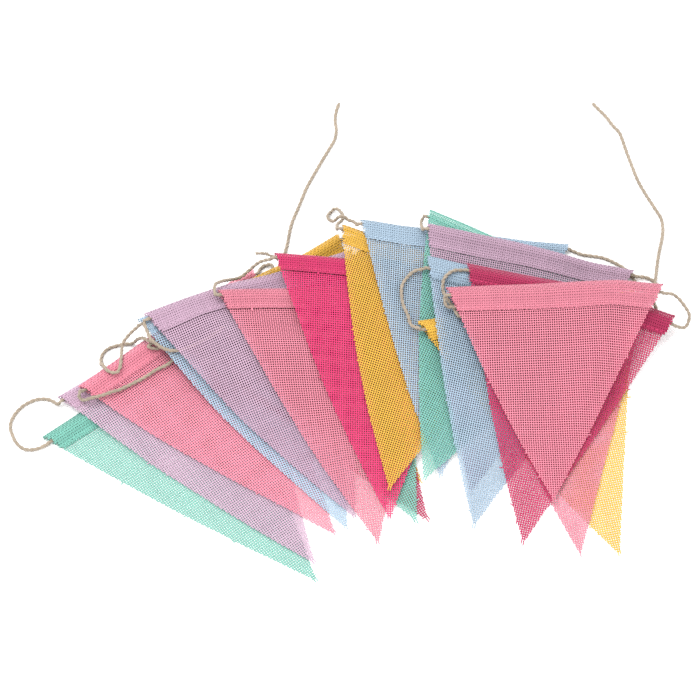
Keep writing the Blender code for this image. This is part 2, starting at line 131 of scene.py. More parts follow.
# The twine. Its short frayed end sticks out of a casing beside the left tail, in millimetres.
STUB = ((-60.5, 95.6, 26.0), (-64, 96.2, 26.6), (-68, 97.8, 27.2), (-72, 98.2, 27.0),
        (-75, 98.4, 26.2))
STUB_THICKNESS = 0.8     # share of the twine's
STUB_FUZZ = 60.0         # fibres that stand off a square centimetre
STUB_STEP, LINE_STEP = 1 * MILLIMETRE, 2 * MILLIMETRE
RING_CORNERS = 8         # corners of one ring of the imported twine
FEWEST_RINGS = 100       # it has more rings than this
MERGING = 1e6            # its corners are merged when they round to the same place, times this
STRAND_OUT = 0.18        # from the twine's middle to a strand's, in diameters of the twine
STRAND_RADIUS = 0.325    # in diameters of the twine
STRAND_CORNERS = 6
LUMP_SCALE = 150.0       # how quickly a strand's thickness changes
LUMP_SHIFT = 9.0         # the two strands' lumps differ
LUMP_TURN = 1.2          # how far a lump turns the strands on, in radians
THINNEST, LUMP_SPREAD = 0.84, 0.30           # of a strand, in shares of its usual thickness
STRAND_UNIT = 0.003      # metres of strand in one unit of its UV map
FUZZ_RADIUS = 0.03       # of a fibre, in lengths
FUZZ_BEND = 0.45         # how far a fibre's end is bent over, in lengths
FUZZ_LEAN = 1.1          # furthest that a fibre leans over, in radians
SHORTEST_FUZZ = 0.25     # in shares of the longest
PER_SQUARE_CENTIMETRE = 1e4

# The seams.
SEAM_RISE = 0.3          # of the stitches over the flap, in millimetres
SEAM_INSET = 1.0         # from the cloth's edges, in millimetres
STITCH_HEIGHT = 0.8      # in shares of its width
STITCH_SIZES = (0.85, 1.1)
SEWING_GAIN, SEWING_LIFT = 1.25, 0.03        # the sewing thread is lighter than its cloth

SPECULAR = 0.3           # of all materials
# The materials' shades: a base, and what is added to it at most.
THREAD_BASE, THREAD_TONES, THREAD_PATCHES, THREAD_FIBRES = 0.80, 0.12, 0.14, 0.16
EDGE_PAINTED_SHADE, CROWN_PAINTED_LIGHT = 0.76, 0.24       # painted shade across a thread: darker at its edges than at its crown
LEVEL_PAINTED_SHADE, OVER_PAINTED_LIGHT = 0.88, 0.14       # painted shade along a thread: darker where it dips under a crossing thread, lighter where it is on top
THREAD_GRAIN = (6, 9, 50)                    # fibres along, across and from thread to thread
FIBRE_RELIEF = 0.35                          # a fibre's height, in shares of the crown's
JUTE_BASE, JUTE_FIBRES, JUTE_PATCHES = 0.45, 0.65, 0.45
JUTE_GRAIN = (3, 12)
SEWING_BASE, SEWING_GRAIN = 0.75, 0.5
FLOOR_BASE, FLOOR_GRAIN = 0.99, 0.02

# The stage, in metres.
FLOOR_HALF = 4.0
LAMP_SIZE = 1.6
LAMP_PLACE = (-0.7, 0.5, 2.2)
CAMERA_AIM = (-0.00785, 0.03438, 0.0)
CAMERA_RANGE = (0.05, 50.0)                  # nearest and furthest that it sees


# ---- sizes and colours

def millimetres(name, value, description):
    """A length that a user can change."""
    return FloatProperty(name=name, description=description, default=value * MILLIMETRE,
                         precision=5, subtype='DISTANCE', unit='LENGTH')


def colour(name, value):
    """A colour that a user can change."""
    return FloatVectorProperty(name=name, description="Colour of " + name.lower(), size=3,
                               subtype='COLOR', min=0, max=1, default=value)


class ClothSettings(bpy.types.PropertyGroup):
    """Weave and colours of the mesh cloth."""
    warp_pitch: millimetres("Warp pitch", 1.59, "Distance between threads that run down a pennant")
    weft_pitch: millimetres("Weft pitch", 1.645, "Distance between threads that run along the fold")
    thread_width: millimetres("Thread width", 0.70, "Width of one flat thread")
    flap_widening: FloatProperty(
        name="Flap widening", default=0.55,
        description="How much wider the pressed threads of a casing's flap are")
    crimp: millimetres("Crimp", 0.2, "How far a thread rises and falls over those that it crosses")
    wander: millimetres("Wander", 0.22, "How far the threads stray from straight lines")
    ragged: millimetres("Raggedness", 0.25, "How unevenly the threads are cut")
    loose: millimetres("Loose ends", 2.6, "Length of the few threads that hang out of a cut edge")
    tassel: millimetres("Tip threads", 3.0, "How far the last threads hang out of a tip")
    seed: IntProperty(name="Seed", description="Seed of all that is random in the weave", default=7)
    mint: colour("Mint", (0.19, 0.50, 0.41))
    lilac: colour("Lilac", (0.55, 0.36, 0.48))
    pink: colour("Pink", (0.75, 0.23, 0.31))
    yellow: colour("Yellow", (0.74, 0.42, 0.05))
    crimson: colour("Crimson", (0.74, 0.035, 0.16))
    blue: colour("Blue", (0.36, 0.48, 0.60))


class SeamSettings(bpy.types.PropertyGroup):
    """The stitches that close a casing."""
    stitch_step: millimetres("Stitch step", 3.4, "Distance from one stitch to the next")
    stitch_length: millimetres("Stitch length", 2.6, "Length of one stitch")
    thread_thickness: millimetres("Thread thickness", 0.42, "Thickness of the sewing thread")
    from_edge: millimetres("From the edge", 2.6, "Distance of the seam from the flap's raw edge")


class TwineSettings(bpy.types.PropertyGroup):
    """The twisted jute twine."""
    diameter: millimetres("Diameter", 2.7, "Thickness of the twine over both strands")
    twist: millimetres("Twist", 8.0, "Length of one full turn of the strands")
    step: millimetres("Step", 1.1, "Distance between rings of a strand")
    fuzz_length: millimetres("Fuzz length", 1.9, "Length of a fibre that stands off")
    stub_fuzz: millimetres("Frayed fuzz length", 3.4, "Length of the fibres at the frayed end")
    fuzz: FloatProperty(name="Fuzz", description="Fibres that stand off a square centimetre",
                        default=7.0)
    seed: IntProperty(name="Seed", description="Seed of the fibres", default=3)
    stub_seed: IntProperty(name="Frayed seed", description="Seed of the frayed end's fibres",
                           default=8)
    jute: colour("Jute", (0.335, 0.275, 0.21))


class StageSettings(bpy.types.PropertyGroup):
    """Floor, light and camera."""
    floor: colour("Floor", (0.95, 0.95, 0.95))
    elevation: FloatProperty(name="Elevation", description="Camera's angle above the floor",
                             default=math.radians(61.4), subtype='ANGLE', unit='ROTATION')
    distance: FloatProperty(name="Distance", description="From the camera to what it looks at",
                            default=1.8126, subtype='DISTANCE', unit='LENGTH')
    lens: FloatProperty(name="Lens", description="Focal length in millimetres", default=131.3)
    sky: FloatProperty(name="Sky", description="Strength of the even light all round", default=1.45)
    lamp: FloatProperty(name="Lamp", description="Strength of the soft lamp", default=32.0,
                        subtype='POWER')


# ---- node trees

class Field:
    """A number in a node tree. A sum on it adds Math nodes to the tree."""

    def __init__(self, socket):
        self.socket = socket


def give_sum(sign, operation):
    """Let Fields take this sign, from the left and from the right."""
    setattr(Field, f"__{sign}__", lambda own, other: maths(operation, own, other))
    setattr(Field, f"__r{sign}__", lambda own, other: maths(operation, other, own))


for names in (("add", 'ADD'), ("sub", 'SUBTRACT'), ("mul", 'MULTIPLY'), ("truediv", 'DIVIDE'),
              ("pow", 'POWER')):
    give_sum(*names)


def feed(socket, value):
    """Link a value to a socket, or set it there."""
    if isinstance(value, Field):
        socket.id_data.links.new(value.socket, socket)
    else:
        socket.default_value = value


def feed_value(node, value):
    """Feed the one input called Value that this node has switched on."""
    feed([s for s in node.inputs if s.enabled and s.name == "Value"][0], value)


def add_node(tree, kind, inputs=None, **settings):
    """Add a node with its settings, and feed its inputs, named by their identifiers.

    A kind without the word Node is that of a geometry node.
    """
    node = tree.nodes.new(kind if "Node" in kind else 'GeometryNode' + kind)
    for key, value in settings.items():
        setattr(node, key, value)
    by_identifier = {socket.identifier: socket for socket in node.inputs}
    for key, value in (inputs or {}).items():
        feed(by_identifier[key], value)
    return node


def output(node, identifier=None):
    """A node's output as a Field: the first one, or the one with this identifier."""
    found = [s for s in node.outputs if s.enabled and identifier in (None, s.identifier)]
    return Field(found[0])


def made(tree, kind, inputs=None, which=None, **settings):
    """Add a node, and return its output as a Field."""
    return output(add_node(tree, kind, inputs, **settings), which)


def maths(operation, *values, kind='ShaderNodeMath', scale=None):
    """A sum on these values, of which one is a Field."""
    tree = next(v.socket.id_data for v in (*values, scale) if isinstance(v, Field))
    node = add_node(tree, kind, operation=operation)
    for socket, value in zip(node.inputs, values):
        feed(socket, value)
    if scale is not None:
        feed(node.inputs["Scale"], scale)
    return output(node)


def vector_maths(operation, *values, scale=None):
    return maths(operation, *values, kind='ShaderNodeVectorMath', scale=scale)


def vector(tree, x=0.0, y=0.0, z=0.0):
    return made(tree, 'ShaderNodeCombineXYZ', {"X": x, "Y": y, "Z": z})


def parts_of(tree, value):
    """The three numbers of a vector."""
    node = add_node(tree, 'ShaderNodeSeparateXYZ', {"Vector": value})
    return [output(node, part) for part in "XYZ"]


def noise(tree, place, scale, detail=2.0, which="Fac"):
    """Smooth noise between 0 and 1."""
    return made(tree, 'ShaderNodeTexNoise',
                {"Vector": place, "Scale": scale, "Detail": detail}, which)


def chance(tree, identity, seed, low=0.0, high=1.0):
    """A random number for each identity."""
    return made(tree, 'FunctionNodeRandomValue',
                {"Min_001": low, "Max_001": high, "ID": identity, "Seed": seed}, "Value_001",
                data_type='FLOAT')


def kept(tree, geometry, **fields):
    """Keep fields as they are on this geometry's points. Returns it and the fields by name."""
    node = add_node(tree, 'CaptureAttribute', domain='POINT')
    feed(node.inputs["Geometry"], geometry)
    for name, field in fields.items():
        kind = 'VECTOR' if field.socket.type == 'VECTOR' else 'FLOAT'
        node.capture_items.new(kind, name)
        feed(node.inputs[name], field)
    return (Field(node.outputs["Geometry"]),
            {name: Field(node.outputs[name]) for name in fields})


def stored(tree, geometry, name, value, data_type='FLOAT', domain='POINT'):
    """Store a field on the geometry under a name, for the material to read."""
    node = add_node(tree, 'StoreNamedAttribute', {"Name": name, "Geometry": geometry},
                    data_type=data_type, domain=domain)
    feed_value(node, value)
    return output(node)


def joined(tree, *geometries):
    join = add_node(tree, 'JoinGeometry')
    for geometry in geometries:
        feed(join.inputs[0], geometry)
    return output(join)


def new_geometry_tree(name, lengths, numbers=()):
    """A modifier's node tree with named inputs. Returns it and its inputs as Fields."""
    tree = bpy.data.node_groups.new(name, 'GeometryNodeTree')
    tree.is_modifier = True
    tree.interface.new_socket("Geometry", in_out='OUTPUT', socket_type='NodeSocketGeometry')
    for label, kind in (("Geometry", 'Geometry'), *((name, 'Float') for name in lengths + numbers),
                        ("Seed", 'Int'), ("Material", 'Material')):
        socket = tree.interface.new_socket(label, in_out='INPUT', socket_type='NodeSocket' + kind)
        if label in lengths:
            socket.subtype = 'DISTANCE'
    start = tree.nodes.new('NodeGroupInput')
    return tree, {s.name: Field(s) for s in start.outputs if s.name}


def end_tree(tree, geometry, material):
    """Close a geometry tree: real meshes, smooth, in one material."""
    real = made(tree, 'RealizeInstances', {"Geometry": geometry})
    smooth = made(tree, 'SetShadeSmooth', {"Geometry": real})
    dressed = made(tree, 'SetMaterial', {"Geometry": smooth, "Material": material})
    feed(tree.nodes.new('NodeGroupOutput').inputs[0], dressed)


def run_tree(item, tree, values):
    """Run the tree on an object with these inputs, and make the result its plain mesh."""
    modifier = item.modifiers.new(tree.name, 'NODES')
    modifier.node_group = tree
    for socket in tree.interface.items_tree:
        if socket.in_out == 'INPUT' and socket.name in values:
            modifier[socket.identifier] = values[socket.name]
    evaluated = item.evaluated_get(bpy.context.evaluated_depsgraph_get())
    mesh = bpy.data.meshes.new_from_object(evaluated)
    if not mesh.polygons:
        raise RuntimeError(f"{item.name}: {tree.name} made nothing")
    item.modifiers.clear()
    carrier, item.data = item.data, mesh
    bpy.data.meshes.remove(carrier)
    mesh.name = item.name


def named_inputs(source, *names, unit=1):
    """Values with these names, under the names of a tree's inputs."""
    return {name.replace("_", " ").title(): getattr(source, name) * unit for name in names}


def placed(name, data, location=(0, 0, 0)):
    """An object with this data, in the scene."""
    item = bpy.data.objects.new(name, data)
    bpy.context.scene.collection.objects.link(item)
    item.location = location
    return item


def new_object(name, points, faces=(), edges=()):
    """An object at the origin with this mesh, in metres."""
    mesh = bpy.data.meshes.new(name)
    mesh.from_pydata([tuple(p) for p in points], edges, faces)
    return placed(name, mesh)


def new_line(name, points):
    """An object that is one line through these points."""
    return new_object(name, points, edges=[(i, i + 1) for i in range(len(points) - 1)])


# ---- the drape of a pennant

def left_edge(pennant, down):
    """Place along the fold's direction where the cloth starts, at a distance down from the fold."""
    part = down / pennant.depth
    return (pennant.width / 2 + pennant.lean) * part - pennant.bow * 4 * part * (1 - part)


def right_edge(pennant, down):
    part = down / pennant.depth
    return pennant.width * (1 - part) + (pennant.width / 2 + pennant.lean) * part


def last_row(pennant):
    """How far down the blunt tip is."""
    return pennant.depth * (1 - TIP_WIDTH / pennant.width)


def plan_place(pennant, along, down):
    """Plan place, in millimetres, of a point along the fold and down from it."""
    turn = math.radians(pennant.turn)
    return (pennant.x + math.cos(turn) * along + math.sin(turn) * down,
            pennant.y + math.sin(turn) * along - math.cos(turn) * down)


def along_and_down(pennant, points):
    """How far points are along the fold and down from it, in millimetres."""
    turn = math.radians(pennant.turn)
    x, y = points[:, 0] - pennant.x, points[:, 1] - pennant.y
    return math.cos(turn) * x + math.sin(turn) * y, math.sin(turn) * x - math.cos(turn) * y


def read_heights(pennant):
    """Heights of the back layer's middle on a grid over the pennant, read from under its solid."""
    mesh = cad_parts["pennant_" + pennant.name].data
    solid = BVHTree.FromPolygons([v.co / MILLIMETRE for v in mesh.vertices],
                                 [tuple(p.vertices) for p in mesh.polygons])
    alongs = np.arange(-MARGIN, pennant.width + MARGIN + GRID_STEP, GRID_STEP)
    downs = np.arange(0, pennant.depth + MARGIN + GRID_STEP, GRID_STEP)
    heights = np.zeros((len(downs), len(alongs)))
    for row, down in enumerate(downs):
        inside = min(max(down, INSET), last_row(pennant) - INSET)
        left, right = left_edge(pennant, inside) + INSET, right_edge(pennant, inside) - INSET
        for column, along in enumerate(alongs):
            x, y = plan_place(pennant, min(max(along, left), right), inside)
            hit = solid.ray_cast(Vector((x, y, UNDER_ALL)), Vector((0, 0, 1)))[0]
            if hit is None:
                raise RuntimeError(f"pennant_{pennant.name}: no cloth at {x:.1f}, {y:.1f} mm")
            heights[row, column] = hit.z + CLOTH / 2
    packed = heights.copy()
    for _ in range(EASE_ROUNDS):
        wide = np.pad(heights, 1, mode="edge")
        around = (wide[:-2, 1:-1] + wide[2:, 1:-1] + wide[1:-1, :-2] + wide[1:-1, 2:]) / 4
        heights = np.clip((heights + around) / 2, packed - EASE_LIMIT, packed + EASE_LIMIT)
    return alongs, downs, heights


def height_at(grid, along, down):
    """Height between the grid's points."""
    alongs, downs, heights = grid
    u = np.clip((along - alongs[0]) / GRID_STEP, 0, len(alongs) - PAST_LAST)
    v = np.clip((down - downs[0]) / GRID_STEP, 0, len(downs) - PAST_LAST)
    i, j = int(u), int(v)
    fu, fv = u - i, v - j
    near = heights[j, i] * (1 - fu) + heights[j, i + 1] * fu
    far = heights[j + 1, i] * (1 - fu) + heights[j + 1, i + 1] * fu
    return near * (1 - fv) + far * fv


def draped(pennant, grid, along, down, rise, askew=0.0):
    """A point that rises over the back layer's middle, in metres."""
    x, y = plan_place(pennant, along + askew, down)
    return (x * MILLIMETRE, y * MILLIMETRE, (height_at(grid, along, down) + rise) * MILLIMETRE)


def flap_rise(pennant, down):
    """How high the flap is over the back, down from the fold: it arches over the twine."""
    near = min(abs(down - pennant.thread) / TENT_HALF_WIDTH, 1)
    pressed = min(max((down - pennant.flap) / PRESSED_DEPTH + 1, 0), 1)
    return (FLAP_RISE + (PRESSED_RISE - FLAP_RISE) * pressed
            + TWINE_TENT * math.cos(near * math.pi / 2) ** 2)


def cloth_rows(pennant):
    """Rows of the sheet: flat distance from the fold, distance down in place, rise over the back.

    Flat distances are negative on the flap. The fold is a half circle between the two layers, and
    the flap goes over the twine as a rounded ridge.
    """
    radius = FLAP_RISE / 2
    rows = []
    for flat in np.arange(pennant.flap + 2 * FINE_STEP, FOLD_TURN, -FINE_STEP):
        down = radius + flat - FOLD_TURN
        rows.append((-flat, down, flap_rise(pennant, down)))
    for share in (-1, -0.5, 0, 0.5, 1):
        angle = share * math.pi / 2
        rows.append((share * FOLD_TURN, radius * (1 - math.cos(angle)),
                     radius * (1 - math.sin(angle))))
    flat = FOLD_TURN + FINE_STEP
    while flat < pennant.depth + MARGIN:
        rows.append((flat, radius + flat - FOLD_TURN, 0.0))
        flat += FINE_STEP if flat < pennant.flap + FINE_STEP else GRID_STEP
    return rows


def sheet_of(pennant):
    """The sheet that carries the weave. Its UV map says where each point is on the flat cloth."""
    rows = cloth_rows(pennant)
    grid = read_heights(pennant)
    alongs = grid[0]
    points, flats = [], []
    for flat, down, rise in rows:
        askew = FLAP_ASKEW * min(max(-flat / pennant.thread, 0), 1)
        for along in alongs:
            points.append(draped(pennant, grid, along, down, rise, askew))
            flats.append((along * MILLIMETRE / FLAT_UNIT, flat * MILLIMETRE / FLAT_UNIT))
    width = len(alongs)
    faces = [(r * width + c, (r + 1) * width + c, (r + 1) * width + c + 1, r * width + c + 1)
             for r in range(len(rows) - 1) for c in range(width - 1)]
    item = new_object("pennant_cloth_" + pennant.name, points, faces)
    flat_map = item.data.uv_layers.new(name="flat_cloth")
    for loop in item.data.loops:
        flat_map.data[loop.index].uv = flats[loop.vertex_index]
    return item


def layers_at(points, pennants, crimson=1.0):
    """Layers of these pennants' cloth at each point, from above. A crimson one counts as said."""
    count = np.zeros(len(points))
    for pennant in pennants:
        along, down = along_and_down(pennant, points)
        from_edge = np.minimum(along - left_edge(pennant, down), right_edge(pennant, down) - along)
        inside = (down > 0) & (down < last_row(pennant)) & (from_edge > 0)
        layers = (np.where(down < pennant.flap, 2, 1)
                  * (crimson if pennant.colour == "crimson" else 1))
        count += inside * layers * np.clip(from_edge / EDGE_LIGHT, EDGE_SHARE, 1)
    return count


def shade_under_others(item, number):
    """Store a pennant's dye and painted shade: darker where others lie over it, deep in the pile,
    and on some casings.
    """
    pennant = PENNANTS[number]
    places = np.empty(3 * len(item.data.vertices))
    item.data.vertices.foreach_get("co", places)
    points = places.reshape(-1, 3) / MILLIMETRE
    over = np.clip(layers_at(points, PENNANTS[number + 1:], RED_LETS_THROUGH), 0, 2)
    under = np.clip(layers_at(points, PENNANTS[:number]) / DARK_DEPTH, 0, 1)
    # Painted shade: the colour is darkened where other pennants cover this one, deep in the pile;
    # dye is the pennant's own lightness.
    light = (1 - np.clip(over * COVER_SHADE, 0, DARKEST_SHADE) * under) * pennant.dye
    down = along_and_down(pennant, points)[1]
    # Painted shade: the doubled cloth of the casing is darker in some colours.
    light *= np.where(down < pennant.flap, CASING_PAINTED_SHADE.get(pennant.colour, 1.0), 1.0)
    store = item.data.attributes.new("light_here", 'FLOAT', 'POINT')
    store.data.foreach_set("value", light)


# ---- weave

def weave_threads(tree, given, runs_down):
    """All threads of one direction, as flat ribbons that go over and under the other's."""
    warp, weft, width, depth, lean, bow, flap, seed = (given[name] for name in (
        "Warp Pitch", "Weft Pitch", "Width", "Depth", "Lean", "Bow", "Flap", "Seed"))
    columns = maths('CEIL', width / warp) + 2 * SPARE_THREADS
    flap_rows = maths('CEIL', flap / weft) + SPARE_THREADS
    rows = maths('CEIL', depth / weft) + flap_rows + 3 * SPARE_THREADS
    threads, points = (columns, rows) if runs_down else (rows, columns)

    grid = made(tree, 'MeshGrid',
                {"Size X": 1.0, "Size Y": 1.0, "Vertices X": points, "Vertices Y": threads * 2},
                "Mesh")
    index = made(tree, 'InputIndex')
    place = maths('FLOOR', (index + 0.5) / (threads * 2))
    strand = index - place * (threads * 2)
    thread = maths('FLOOR', (strand + 0.5) / 2)
    side = strand - thread * 2
    column, row = (thread, place) if runs_down else (place, thread)
    along = (column - SPARE_THREADS + 0.5) * warp
    down = (row - flap_rows + 0.5) * weft

    middle = width / 2 + lean
    last = depth * (1 - given["Tip Width"] / width)
    if runs_down:
        bulge = bow * 4
        slope = middle - bulge
        root = maths('SQRT', maths('MAXIMUM', slope * slope + bulge * along * 4, 0.0))
        by_left = (root - slope) / (bulge * 2)
        by_right = (width - along) / (width / 2 - lean)
        edge = maths('MINIMUM', by_left, by_right) * depth
        at_tip = maths('GREATER_THAN', edge, last - weft)
        high = maths('MINIMUM', edge, last) + at_tip * given["Tip Threads"]
        low = maths('MINIMUM', edge, flap) * -1
        way, there, in_casing = down, maths('GREATER_THAN', edge, 0.0), 0.0
    else:
        distance = maths('ABSOLUTE', down)
        part = distance / depth
        low = middle * part - bow * 4 * part * (1 - part)
        high = width * (1 - part) + middle * part
        way, in_casing = along, maths('LESS_THAN', distance, flap)
        there = maths('GREATER_THAN', down, flap * -1) * maths('LESS_THAN', down, last)
    ends = []
    for number, end in enumerate((low, high)):
        identity = thread + (END_NUMBERS * (2 * number + runs_down))
        short = (chance(tree, identity, seed) * given["Raggedness"]
                 * (1 + in_casing * FLAP_RAGGEDNESS))
        long = chance(tree, identity, seed + 1) ** LOOSE_RARITY * given["Loose Ends"]
        ends.append(end - (short + long) if number == 0 else end + (short + long))
    cut = maths('MINIMUM', maths('MAXIMUM', way, ends[0]), ends[1])
    outside = maths('GREATER_THAN', maths('ABSOLUTE', cut - way), MOVED)
    outside = maths('MAXIMUM', outside, 1 - there)

    over = 1 - 2 * maths('MODULO', place + thread, 2.0)
    lift = over * given["Crimp"] * (1 if runs_down else -1)
    on_flap = maths('LESS_THAN', down, 0.0)
    sway = (side - 0.5) * given["Thread Width"] * (1 + on_flap * given["Flap Widening"])
    flat_x, flat_y = (along + sway, cut) if runs_down else (cut, down + sway)
    tone = chance(tree, thread + TONE_NUMBERS * (1 + runs_down), seed + 2)
    grid, fields = kept(tree, grid, thread=thread, outside=outside, lift=lift, x=flat_x, y=flat_y,
                        run=cut, side=side, tone=tone)
    between = maths('FRACT', fields["thread"] + PAST_WHOLE)
    unwanted = maths('MAXIMUM', maths('GREATER_THAN', between, BETWEEN_THREADS),
                     maths('GREATER_THAN', fields["outside"], MOSTLY_OUTSIDE))
    ribbons = made(tree, 'DeleteGeometry', {"Geometry": grid, "Selection": unwanted},
                   domain='FACE', mode='ALL')
    ribbons = stored(tree, ribbons, "thread_tone", fields["tone"])
    ribbons = stored(tree, ribbons, "thread_rise", fields["lift"] / given["Crimp"])
    across = vector(tree, fields["run"] / THREAD_UNIT, fields["side"])
    ribbons = stored(tree, ribbons, "UVMap", across, 'FLOAT2', 'CORNER')
    return ribbons, fields


def on_sheet(tree, given, ribbons, fields):
    """Move the flat ribbons onto the draped sheet."""
    flat = vector(tree, fields["x"], fields["y"])
    shifted = vector_maths('ADD', flat, vector(tree, z=given["Seed"]))
    stray = vector_maths('SUBTRACT',
                         noise(tree, shifted, STRAY_SCALE, STRAY_DETAIL, "Color"), (0.5, 0.5, 0.5))
    flat = vector_maths('ADD', flat,
                        vector_maths('SCALE', stray, scale=given["Wander"] * STRAY_GAIN))
    sample = vector_maths('SCALE', flat, scale=1 / FLAT_UNIT)
    name = made(tree, 'InputNamedAttribute', {"Name": "flat_cloth"},
                data_type='FLOAT_VECTOR')
    found = []
    for source in ('InputPosition', 'InputNormal'):
        node = add_node(tree, 'SampleUVSurface',
                        {"Mesh": given["Geometry"], "Source UV Map": name, "Sample UV": sample},
                        data_type='FLOAT_VECTOR')
        feed_value(node, made(tree, source))
        found.append(output(node, "Value"))
    place = vector_maths('ADD', found[0],
                         vector_maths('SCALE', found[1], scale=fields["lift"]))
    return made(tree, 'SetPosition', {"Geometry": ribbons, "Position": place})


def weave_tree():
    """Geometry nodes that weave a pennant's mesh cloth over its draped sheet."""
    tree, given = new_geometry_tree("woven_mesh", lengths=(
        "Width", "Depth", "Lean", "Bow", "Flap", "Tip Width", "Warp Pitch", "Weft Pitch",
        "Thread Width", "Crimp", "Wander", "Raggedness", "Loose Ends", "Tip Threads"),
        numbers=("Flap Widening",))
    both = [on_sheet(tree, given, *weave_threads(tree, given, runs_down))
            for runs_down in (True, False)]
    end_tree(tree, joined(tree, *both), given["Material"])
    return tree


# ---- materials

def new_material(name, colour_value, roughness, sheen):
    """A material and its shader. Even values stay on the shader's own sockets."""
    material = bpy.data.materials.new(name)
    material.use_nodes = True
    shader = material.node_tree.nodes["Principled BSDF"]
    for label, value in (("Base Color", (*colour_value, 1)), ("Roughness", roughness),
                         ("Sheen Weight", sheen), ("Specular IOR Level", SPECULAR)):
        shader.inputs[label].default_value = value
    return material, shader


def tint(shader, colour_value, shade):
    """Give a shader this colour times a shade that varies round 1."""
    feed(shader.inputs["Base Color"],
         vector_maths('SCALE', tuple(colour_value), scale=shade))


def bump(shader, height, strength, distance):
    """Give a shader a small relief. The distance is in metres."""
    tree = shader.id_data
    feed(shader.inputs["Normal"],
         made(tree, 'ShaderNodeBump',
              {"Height": height, "Strength": strength, "Distance": distance}))


def object_place(tree):
    return made(tree, 'ShaderNodeTexCoord', which="Object")


def thread_place(tree):
    """Places along and across a thread or strand, from its UV map."""
    return parts_of(tree, made(tree, 'ShaderNodeUVMap', uv_map="UVMap"))[:2]


def thread_material(name, colour_value):
    """Thread of the mesh cloth: spun fibres along it, round in section, a tone of its own. Its
    colour carries painted shade: darker at its edges, where it dips under, and under other
    pennants.
    """
    material, shader = new_material(name, colour_value, roughness=0.72, sheen=0.15)
    tree = material.node_tree
    tone, rise, light = (made(tree, 'ShaderNodeAttribute', which="Fac", attribute_name=number,
                              attribute_type='GEOMETRY')
                         for number in ("thread_tone", "thread_rise", "light_here"))
    run, side = thread_place(tree)
    patches = noise(tree, object_place(tree), scale=45.0, detail=3.0)
    grain = [place * gain for place, gain in zip((run, side, tone), THREAD_GRAIN)]
    fibres = noise(tree, vector(tree, *grain), scale=1.0)
    edge = side * 2 - 1
    crown = maths('SQRT', maths('MAXIMUM', 1 - edge * edge, 0.0))
    shade = (THREAD_BASE + tone * THREAD_TONES + patches * THREAD_PATCHES
             + fibres * THREAD_FIBRES)
    # Painted shade: the colour is darker at a thread's edges than at its crown, where it dips under
    # a crossing thread, and by the stored dye and painted shade of the pile.
    tint(shader, colour_value, shade * (EDGE_PAINTED_SHADE + crown * CROWN_PAINTED_LIGHT)
         * (LEVEL_PAINTED_SHADE + rise * OVER_PAINTED_LIGHT) * light)
    bump(shader, crown + fibres * FIBRE_RELIEF, strength=0.6, distance=0.0003)
    return material


def jute_material(colour_value):
    """Twisted jute: pale and dark fibres that follow the strands, and specks."""
    material, shader = new_material("twisted_jute", colour_value, roughness=0.9, sheen=0.2)
    tree = material.node_tree
    grain = [place * gain for place, gain in zip(thread_place(tree), JUTE_GRAIN)]
    fibres = noise(tree, vector(tree, *grain), scale=1.0, detail=3.0)
    patches = noise(tree, object_place(tree), scale=120.0)
    tint(shader, colour_value, JUTE_BASE + fibres * JUTE_FIBRES + patches * JUTE_PATCHES)
    bump(shader, fibres, strength=0.8, distance=0.0003)
    return material


def sewing_material(name, colour_value):
    """Sewing thread, one material for each colour."""
    name = "sewing_thread_" + name
    if name in bpy.data.materials:
        return bpy.data.materials[name]
    material, shader = new_material(name, colour_value, roughness=0.6, sheen=0.2)
    grain = noise(material.node_tree, object_place(material.node_tree), scale=900.0)
    tint(shader, colour_value, SEWING_BASE + grain * SEWING_GRAIN)
    bump(shader, grain, strength=0.4, distance=0.0002)
    return material


# ---- seams

def seam_tree():
    """Geometry nodes that sew a row of stitches along a line."""
    tree, given = new_geometry_tree(
        "casing_seam", lengths=("Stitch Step", "Stitch Length", "Thread Thickness"))
    line = made(tree, 'MeshToCurve', {"Mesh": given["Geometry"]})
    points = add_node(tree, 'CurveToPoints',
                      {"Curve": line, "Length": given["Stitch Step"]}, mode='LENGTH')
    stitch = made(tree, 'MeshUVSphere', {"Segments": 6, "Rings": 4, "Radius": 0.5},
                  "Mesh")
    thick = given["Thread Thickness"]
    size = vector(tree, thick, thick * STITCH_HEIGHT, given["Stitch Length"])
    uneven = chance(tree, made(tree, 'InputIndex'), given["Seed"], *STITCH_SIZES)
    turn = made(tree, 'FunctionNodeAlignRotationToVector',
                {"Vector": output(points, "Tangent")}, axis='Z')
    sewn = made(tree, 'InstanceOnPoints',
                {"Points": output(points, "Points"), "Instance": stitch, "Rotation": turn,
                 "Scale": vector_maths('SCALE', size, scale=uneven)})
    end_tree(tree, sewn, given["Material"])
    return tree


# ---- twine

def packed_twine_line():
    """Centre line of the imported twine, ring by ring from its left tail's end, in metres."""
    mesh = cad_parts["twine"].data
    corners = {}
    merged = []
    for vertex in mesh.vertices:
        key = tuple(round(value * MERGING) for value in vertex.co)
        merged.append(corners.setdefault(key, len(corners)))
    places = np.array(list(corners), float) / MERGING
    beside = [set() for _ in places]
    for polygon in mesh.polygons:
        ring = [merged[v] for v in polygon.vertices]
        for a, b in zip(ring, ring[1:] + ring[:1]):
            beside[a].add(b)
            beside[b].add(a)
    left = [i for i in range(len(places)) if places[i][0] < 0]
    ring = set(sorted(left, key=lambda i: -places[i][1])[:RING_CORNERS])
    seen, line = set(ring), []
    while ring:
        line.append(places[list(ring)].mean(axis=0))
        ring = {b for a in ring for b in beside[a]} - seen
        seen |= ring
    if len(line) < FEWEST_RINGS or len(seen) != len(places):
        raise RuntimeError(f"the packed twine's rings weren't found: {len(line)} of them")
    return np.array(line)


